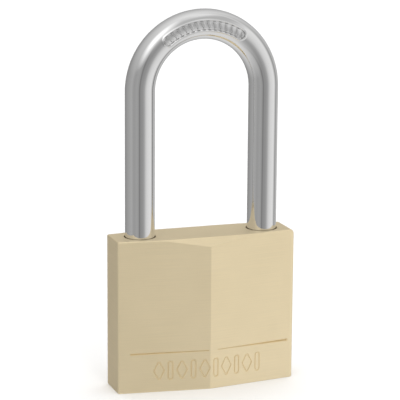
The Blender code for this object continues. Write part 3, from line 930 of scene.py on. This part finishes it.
@dataclass
class Coil:
    """A compression spring, wound evenly between two heights along an axis.

    Attributes:
        node: The frame node that it stands for.
        radius: The winding's radius.
        wire: The wire's thickness.
        start: Where the spring begins along the axis.
        end: Where it ends.
        turns: How many turns it has.
        axis: The axis direction.
        origin: A point on the axis.
        closing: How much closer its end turns are wound, from 0 to 1.
    """

    node: str
    radius: float
    wire: float
    start: float
    end: float
    turns: int
    axis: np.ndarray
    origin: tuple[float, float, float]
    closing: float = 0.35

    def solid(self) -> Object:
        """Build the spring: a circle of wire carried along a helix.

        The height goes evenly with the turn, mixed with a smooth step of it,
        which closes the turns up towards both ends.
        """
        first, second = base_axes(self.axis)
        share = np.linspace(0.0, 1.0, self.turns * 28 + 1)
        turn = math.tau * self.turns * share
        rise = smooth_step(share) * self.closing + share * (1.0 - self.closing)
        height = self.start + self.wire / 2.0 + (self.end - self.start - self.wire) * rise
        spoke = np.cos(turn)[:, None] * first + np.sin(turn)[:, None] * second
        middle = np.array(self.origin) + self.radius * spoke + height[:, None] * self.axis
        angles = np.linspace(0.0, math.tau, 13)
        size = 0.5 * self.wire
        rings = (middle[:, None, :] + size * np.cos(angles[:-1])[None, :, None] * spoke[:, None, :]
                 + size * np.sin(angles[:-1])[None, :, None] * self.axis)
        return Skin(self.node + "_form", rings, running_length(middle), angles * size).build()

    def build(self, low_body: str, high_body: str) -> None:
        """Build the spring where it stands and give it its metal."""
        piece = complete(self.solid(), SPRING_STEEL, self.node)
        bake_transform(piece)


@dataclass
class Bolt:
    """A round bolt with a half arm over the cam, ending in a lug.

    Attributes:
        node: The frame node and body that it stands for.
        side: 1 for the bolt that points to +X, -1 for the other.
        tip: How far its tip lies from the lock's middle.
        lug_end: How far its lug reaches past the middle, to the other side.
        lug_face: Where the lug's working face lies, on that side.
        shoulder: Where its round part ends and its arm begins.
        arm_gap: How far the arm stays from the lock's middle plane.
        nose: How far its tip tapers in, over twice that length.
        seat: The spring seat's radius.
    """

    node: str
    side: float
    tip: float
    lug_end: float
    lug_face: float
    radius: float = 2.5 * MM
    shoulder: float = 4.4 * MM
    arm_low: float = 25.7 * MM
    arm_high: float = 26.6 * MM
    arm_gap: float = 0.15 * MM
    nose: float = 0.6 * MM
    seat: float = 1.0 * MM
    seat_depth: float = 1.0 * MM

    def cut(self, name: str, end: float, low: float, high: float, bottom: float, top: float) -> Object:
        """Make a block from the shoulder to an end along the bolt, and from low to high across it."""
        x = sorted((self.side * self.shoulder, self.side * end))
        y = sorted((self.side * low, self.side * high))
        return block(f"{self.node}_{name}", (x[0], y[0], bottom), (x[1], y[1], top))

    def build(self) -> None:
        """Turn the bolt, cut its arm, lug and spring seat, and put it in the frame's place."""
        axis = self.side * X_AXIS
        core, wide = 0.05 * MM, self.radius + OVERCUT
        bottom, top, end = BOLT_Z - wide, BOLT_Z + wide, -self.lug_end - OVERCUT
        profile = rounded([(core, self.tip), (self.radius - self.nose, self.tip),
                           (self.radius, self.tip - 2.0 * self.nose), (self.radius, -self.lug_end),
                           (core, -self.lug_end)], 0.12 * MM)
        solid = turned(self.node + "_form", profile, axis, (0.0, 0.0, BOLT_Z), 72)
        tools = [self.cut("side", end, self.arm_gap, -wide, bottom, top),
                 self.cut("top", end, -wide, wide, self.arm_high, top),
                 self.cut("under", -self.lug_face, -wide, wide, bottom, self.arm_low),
                 pin(self.node + "_seat", self.seat, 0.0, self.shoulder + self.seat_depth, axis,
                     (0.0, 0.0, BOLT_SPRING_Z))]
        complete(change(solid, tools), TURNED_BRASS, self.node, self.node)


@dataclass
class Cylinder:
    """The keyed plug with the cam on its inner end.

    Attributes:
        radius: The plug's radius, groove that of its groove, and cam that of the cam.
        face_z: The face that the key enters, and top_z the inner end.
        slot: The half width of the slot for the cam, and tongue that of the tongue in it.
        post: The radius of the cam's posts.
        sunk: How far the tongue and the posts run into the cam.
    """

    radius: float = 4.5 * MM
    face_z: float = 0.25 * MM
    top_z: float = 20.2 * MM
    groove: float = 3.6 * MM
    groove_low: float = 17.75 * MM
    groove_high: float = 19.45 * MM
    pin_hole: float = 1.35 * MM
    slot: float = 0.8 * MM
    slot_depth: float = 0.6 * MM
    cam: float = 4.3 * MM
    cam_low: float = 20.5 * MM
    cam_high: float = 22.6 * MM
    tongue: float = 0.65 * MM
    tongue_reach: float = 3.8 * MM
    post: float = 0.5 * MM
    post_top: float = 25.4 * MM
    sunk: float = 0.2 * MM

    def keyway(self) -> Object:
        """Build the keyway's tool: a slot whose sides step past two wards."""
        half, reach, ward, left, right = 0.95, 0.70, 0.40, -1.9, 0.1
        outline = [(-half, -3.7), (half, -3.7), (half, right - ward), (half - reach, right - ward),
                   (half - reach, right + ward), (half, right + ward), (half, 2.0), (-half, 2.0),
                   (-half, left + ward), (-half + reach, left + ward), (-half + reach, left - ward),
                   (-half, left - ward)]
        soft = rounded(np.array(outline) * MM, 0.10 * MM, 4, True)
        return prism("keyway", soft, (-OVERCUT, self.top_z + OVERCUT), GROUND)

    def build_plug(self) -> None:
        """Turn the plug, cut its keyway, cam slot and pin holes, and put it in the frame's place."""
        core, wide = 0.05 * MM, self.radius + OVERCUT
        profile = rounded([(core, self.top_z), (self.radius, self.top_z), (self.radius, self.groove_high),
                           (self.groove, self.groove_high), (self.groove, self.groove_low),
                           (self.radius, self.groove_low), (self.radius, self.face_z), (core, self.face_z)],
                          0.22 * MM)
        plug = turned("cylinder_plug_form", profile, Z_AXIS, (0.0, 0.0, 0.0), 96)
        tools = [self.keyway(), block("tongue_slot", (-wide, -self.slot, self.top_z - self.slot_depth),
                                      (wide, self.slot, self.top_z + OVERCUT))]
        tools += [pin(f"key_pin_hole_{i + 1}", self.pin_hole, -0.6 * MM, wide, Y_AXIS, (0.0, 0.0, z))
                  for i, z in enumerate(STACK_Z)]
        complete(change(plug, tools), TURNED_BRASS, "cylinder_plug", "plug")

    def build_cam(self) -> None:
        """Build the cam with its tongue and posts, and put it in the frame's place."""
        cam = pin("locking_cam_form", self.cam, self.cam_low, self.cam_high, Z_AXIS, (0.0, 0.0, 0.0),
                  0.2 * MM, 80)
        joined = [block("tongue", (-self.tongue_reach, -self.tongue, self.top_z - 0.45 * MM),
                        (self.tongue_reach, self.tongue, self.cam_low + self.sunk))]
        for name, orbit, degrees in (("toe_post", 1.56 * MM, 135.0), ("heel_post", 0.92 * MM, -45.0)):
            angle = math.radians(degrees)
            joined.append(pin(name, self.post, self.cam_high - self.sunk, self.post_top, Z_AXIS,
                              (orbit * math.cos(angle), orbit * math.sin(angle), 0.0), 0.1 * MM, 32))
        complete(change(cam, joined, Operation.JOIN), HARD_STEEL, "locking_cam", "plug")


@dataclass
class PinStack:
    """One pin stack: the key pin in the plug, and the driver, spring and closing plug in the body.

    Attributes:
        index: Which stack it is, 0 nearest to the key's face.
        radius: The pins' radius, tip that of the key pin's point, and taper the point's length.
        closure: The closing plug's radius.
    """

    index: int
    radius: float = 1.25 * MM
    tip: float = 0.45 * MM
    taper: float = 0.8 * MM
    key_pin_end: float = 4.35 * MM
    driver_start: float = 4.75 * MM
    driver_end: float = 8.95 * MM
    spring_start: float = 9.25 * MM
    spring_end: float = 16.9 * MM
    closure: float = 1.3 * MM
    closure_start: float = 17.2 * MM

    def build(self) -> None:
        """Build the four pieces and put them in the frame's places."""
        number = self.index + 1
        origin = (0.0, 0.0, STACK_Z[self.index])
        key, driver, closure = (f"{name}_{number}" for name in ("key_pin", "driver_pin", "chamber_plug"))
        core, cut = 0.03 * MM, KEY_CUTS[self.index]
        profile = rounded([(core, self.key_pin_end), (self.radius, self.key_pin_end),
                           (self.radius, cut + self.taper), (self.tip, cut), (core, cut)], 0.12 * MM)
        complete(turned(key + "_form", profile, Y_AXIS, origin), NICKEL_SILVER, key, key)
        complete(pin(driver + "_form", self.radius, self.driver_start, self.driver_end, X_AXIS, origin,
                     0.25 * MM), TURNED_BRASS, driver, driver)
        Coil(f"pin_spring_{number}", 0.95 * MM, 0.3 * MM, self.spring_start, self.spring_end, 5, X_AXIS,
             origin).build(driver, "case")
        complete(pin(closure + "_form", self.closure, self.closure_start, CLOSURE_END, X_AXIS, origin,
                     0.08 * MM), BRASS, closure, "case")


# Stage


@dataclass(frozen=True)
class Lamp:
    """A round lamp that looks at the lock and that reflections don't see.

    Its bearing is from the camera's, and both angles are in degrees. Its power
    is in watts.
    """

    name: str
    bearing: float
    elevation: float
    distance: float
    size: float
    power: float


@dataclass(frozen=True)
class Patch:
    """A patch of light or shade, from azimuths left to right of the camera's and low to high, in degrees."""

    left: float
    right: float
    low: float
    high: float
    soft: float
    value: float


def towards(azimuth: float, elevation: float) -> Vector:
    """Return the direction out to an azimuth and an elevation in degrees."""
    turn, rise = math.radians(azimuth), math.radians(elevation)
    return Vector((math.sin(turn) * math.cos(rise), -math.cos(turn) * math.cos(rise), math.sin(rise)))


def grey(value: float) -> tuple[float, float, float]:
    """Return a colour of one brightness."""
    return value, value, value


@dataclass(frozen=True)
class Studio:
    """The camera, a wide pale floor and soft light.

    Azimuths are in degrees, 0 in front of the lock and 90 at its right.

    Attributes:
        azimuth: Where the camera stands, elevation how high, and roll how far it is rolled.
        distance: How far it is from its target.
        lens: Its focal length, in millimetres.
        walls: The soft light round the lock: azimuths from the camera's, and brightness there.
        sky: The brightness overhead, and sky_rise the elevations over which it takes over.
        ground: The brightness straight below, as reflections see it, and ground_fall its elevations.
        floor_half: The floor's half width, and floor_tone how pale it is.
    """

    azimuth: float = -19.566
    elevation: float = 12.419
    roll: float = 0.404
    distance: float = 0.411142
    target: tuple[float, float, float] = (-0.000329, 0.0, 0.040404)
    lens: float = 172.48
    walls: tuple[tuple[float, float], ...] = (
        (-180.0, 0.35), (-140.0, 0.31), (-108.0, 0.39), (-66.0, 0.47), (-45.0, 0.38), (-20.0, 0.42),
        (-7.0, 0.36), (-3.0, 0.24), (2.0, 0.24), (6.0, 0.32), (20.0, 0.34), (36.0, 0.44), (46.0, 0.66),
        (60.0, 0.80), (92.0, 0.90), (104.0, 0.62), (111.0, 0.36), (120.0, 0.42), (136.0, 0.60), (180.0, 0.35))
    sky: float = 0.92
    sky_rise: tuple[float, float] = (8.0, 90.0)
    ground: float = 0.80
    ground_fall: tuple[float, float] = (-20.0, -65.0)
    patches: tuple[Patch, ...] = (Patch(20.0, 90.0, 42.0, 52.0, 14.0, 0.55),
                                  Patch(-30.0, -18.0, 42.0, 48.0, 30.0, 1.55))
    lamps: tuple[Lamp, ...] = (Lamp("overhead", 165.0, 77.0, 1.8, 2.4, 19.0),
                               Lamp("key", 22.0, 10.0, 1.2, 0.38, 7.4))
    floor_half: float = 3.0
    floor_tone: float = 0.93

    def add_camera(self) -> None:
        """Put the camera at its distance from the target, rolled about its own line of sight."""
        back = towards(self.azimuth, self.elevation)
        right = Vector((0.0, 0.0, 1.0)).cross(back).normalized()
        up = back.cross(right)
        cosine, sine = math.cos(math.radians(self.roll)), math.sin(math.radians(self.roll))
        axes = Matrix((cosine * right + sine * up, cosine * up - sine * right, back)).transposed()
        camera = bpy.data.objects.new("camera", bpy.data.cameras.new("camera"))
        camera.data.lens = self.lens
        camera.data.sensor_width = 36.0
        camera.data.clip_start = 0.01
        camera.matrix_world = Matrix.Translation(Vector(self.target) + back * self.distance) @ axes.to_4x4()
        bpy.context.scene.collection.objects.link(camera)
        bpy.context.scene.camera = camera

    def add_world(self) -> None:
        """Light the scene from all round: bands of brightness by azimuth, giving way to an even sky."""
        world = bpy.data.worlds.new("studio")
        bpy.context.scene.world = world
        world.use_nodes = True
        nodes = Nodes(world.node_tree)
        x = nodes.add("SeparateXYZ", "X", Vector=nodes.add("TexCoord", "Generated"))
        y, z = x.node.outputs["Y"], x.node.outputs["Z"]
        front = nodes.add("Math", operation="MULTIPLY", i0=y, i1=-1.0)
        bearing = nodes.add("Math", operation="ARCTAN2", i0=x, i1=front)
        turn = nodes.add("Math", operation="MULTIPLY_ADD", i0=bearing, i1=1.0 / math.tau,
                         i2=0.5 - self.azimuth / 360.0)
        share = nodes.add("Math", operation="FRACT", i0=turn)
        height = nodes.add("Math", operation="ARCSINE", i0=z)
        light = nodes.ramp(share, [((azimuth + 180.0) / 360.0, grey(value)) for azimuth, value in self.walls])
        for (start, end), value in ((self.sky_rise, self.sky), (self.ground_fall, self.ground)):
            change_over = nodes.add("MapRange", i0=height, i1=math.radians(start), i2=math.radians(end))
            light = nodes.blend(change_over, light, grey(value))
        for patch in self.patches:
            across = nodes.window(share, (patch.left + 180.0) / 360.0, (patch.right + 180.0) / 360.0,
                                  patch.soft / 360.0)
            over = nodes.window(height, *(math.radians(a) for a in (patch.low, patch.high, patch.soft)))
            inside = nodes.add("Math", operation="MULTIPLY", i0=across, i1=over)
            light = nodes.blend(inside, light, grey(patch.value))
        nodes.add("OutputWorld", Surface=nodes.add("Background", Color=light, Strength=1.0))

    def add_lamp(self, lamp: Lamp) -> None:
        """Hang a lamp."""
        outward = towards(self.azimuth + lamp.bearing, lamp.elevation)
        light = bpy.data.objects.new(lamp.name, bpy.data.lights.new(lamp.name, "AREA"))
        light.data.shape = "DISK"
        light.data.size = lamp.size
        light.data.energy = lamp.power
        light.location = outward * lamp.distance
        light.rotation_euler = outward.to_track_quat("Z", "Y").to_euler()
        light.visible_glossy = False
        bpy.context.scene.collection.objects.link(light)

    def add_floor(self) -> None:
        """Lay a wide pale floor that reflections don't see."""
        half = self.floor_half
        mesh = bpy.data.meshes.new("floor")
        corners = [(-half, -half, 0.0), (half, -half, 0.0), (half, half, 0.0), (-half, half, 0.0)]
        mesh.from_pydata(corners, [], [(0, 1, 2, 3)])
        floor = bpy.data.objects.new("floor", mesh)
        material = bpy.data.materials.new("pale_floor")
        material.use_nodes = True
        nodes = Nodes(material.node_tree)
        nodes.add("OutputMaterial", Surface=nodes.add("BsdfDiffuse", Color=(*grey(self.floor_tone), 1.0)))
        mesh.materials.append(material)
        floor.visible_glossy = False
        bpy.context.scene.collection.objects.link(floor)

    def build(self) -> None:
        """Set up the view, the light and the floor."""
        self.add_camera()
        self.add_world()
        for lamp in self.lamps:
            self.add_lamp(lamp)
        self.add_floor()
        bpy.context.scene.view_settings.view_transform = "Standard"


def main() -> None:
    """Build the padlock from its body outwards, then the studio."""
    logging.basicConfig(level=logging.INFO, format="%(name)s %(message)s")
    place = Frame()
    LockBody(place).build()
    Shackle(place).build()
    cylinder = Cylinder()
    cylinder.build_plug()
    cylinder.build_cam()
    Bolt("toe_bolt", 1.0, 10.3 * MM, 2.9 * MM, 1.75 * MM).build()
    Bolt("heel_bolt", -1.0, 11.3 * MM, 2.45 * MM, 1.3 * MM).build()
    Coil("bolt_spring", 0.7 * MM, 0.3 * MM, -5.1 * MM, 5.1 * MM, 8, X_AXIS,
         (0.0, 0.0, BOLT_SPRING_Z)).build("case", "toe_bolt")
    Coil("shackle_spring", 2.2 * MM, 0.6 * MM, 3.8 * MM, 8.4 * MM, 4, Z_AXIS,
         (-place.leg_x, 0.0, 0.0)).build("case", "shackle")
    for index in range(len(STACK_Z)):
        PinStack(index).build()
    for node, metal, radius, start, z, edge in (
            ("bolt_bore_plug", BRASS, 2.55 * MM, 17.6 * MM, BOLT_Z, 0.1 * MM),
            ("plug_retaining_pin", HARD_STEEL, 0.75 * MM, 3.9 * MM, KEEPER_Z, 0.08 * MM)):
        form = pin(node + "_form", radius, start, CLOSURE_END, X_AXIS, (0.0, 0.0, z), edge)
        complete(form, metal, node, "case")
    Studio().build()


if __name__ == "__main__":
    main()
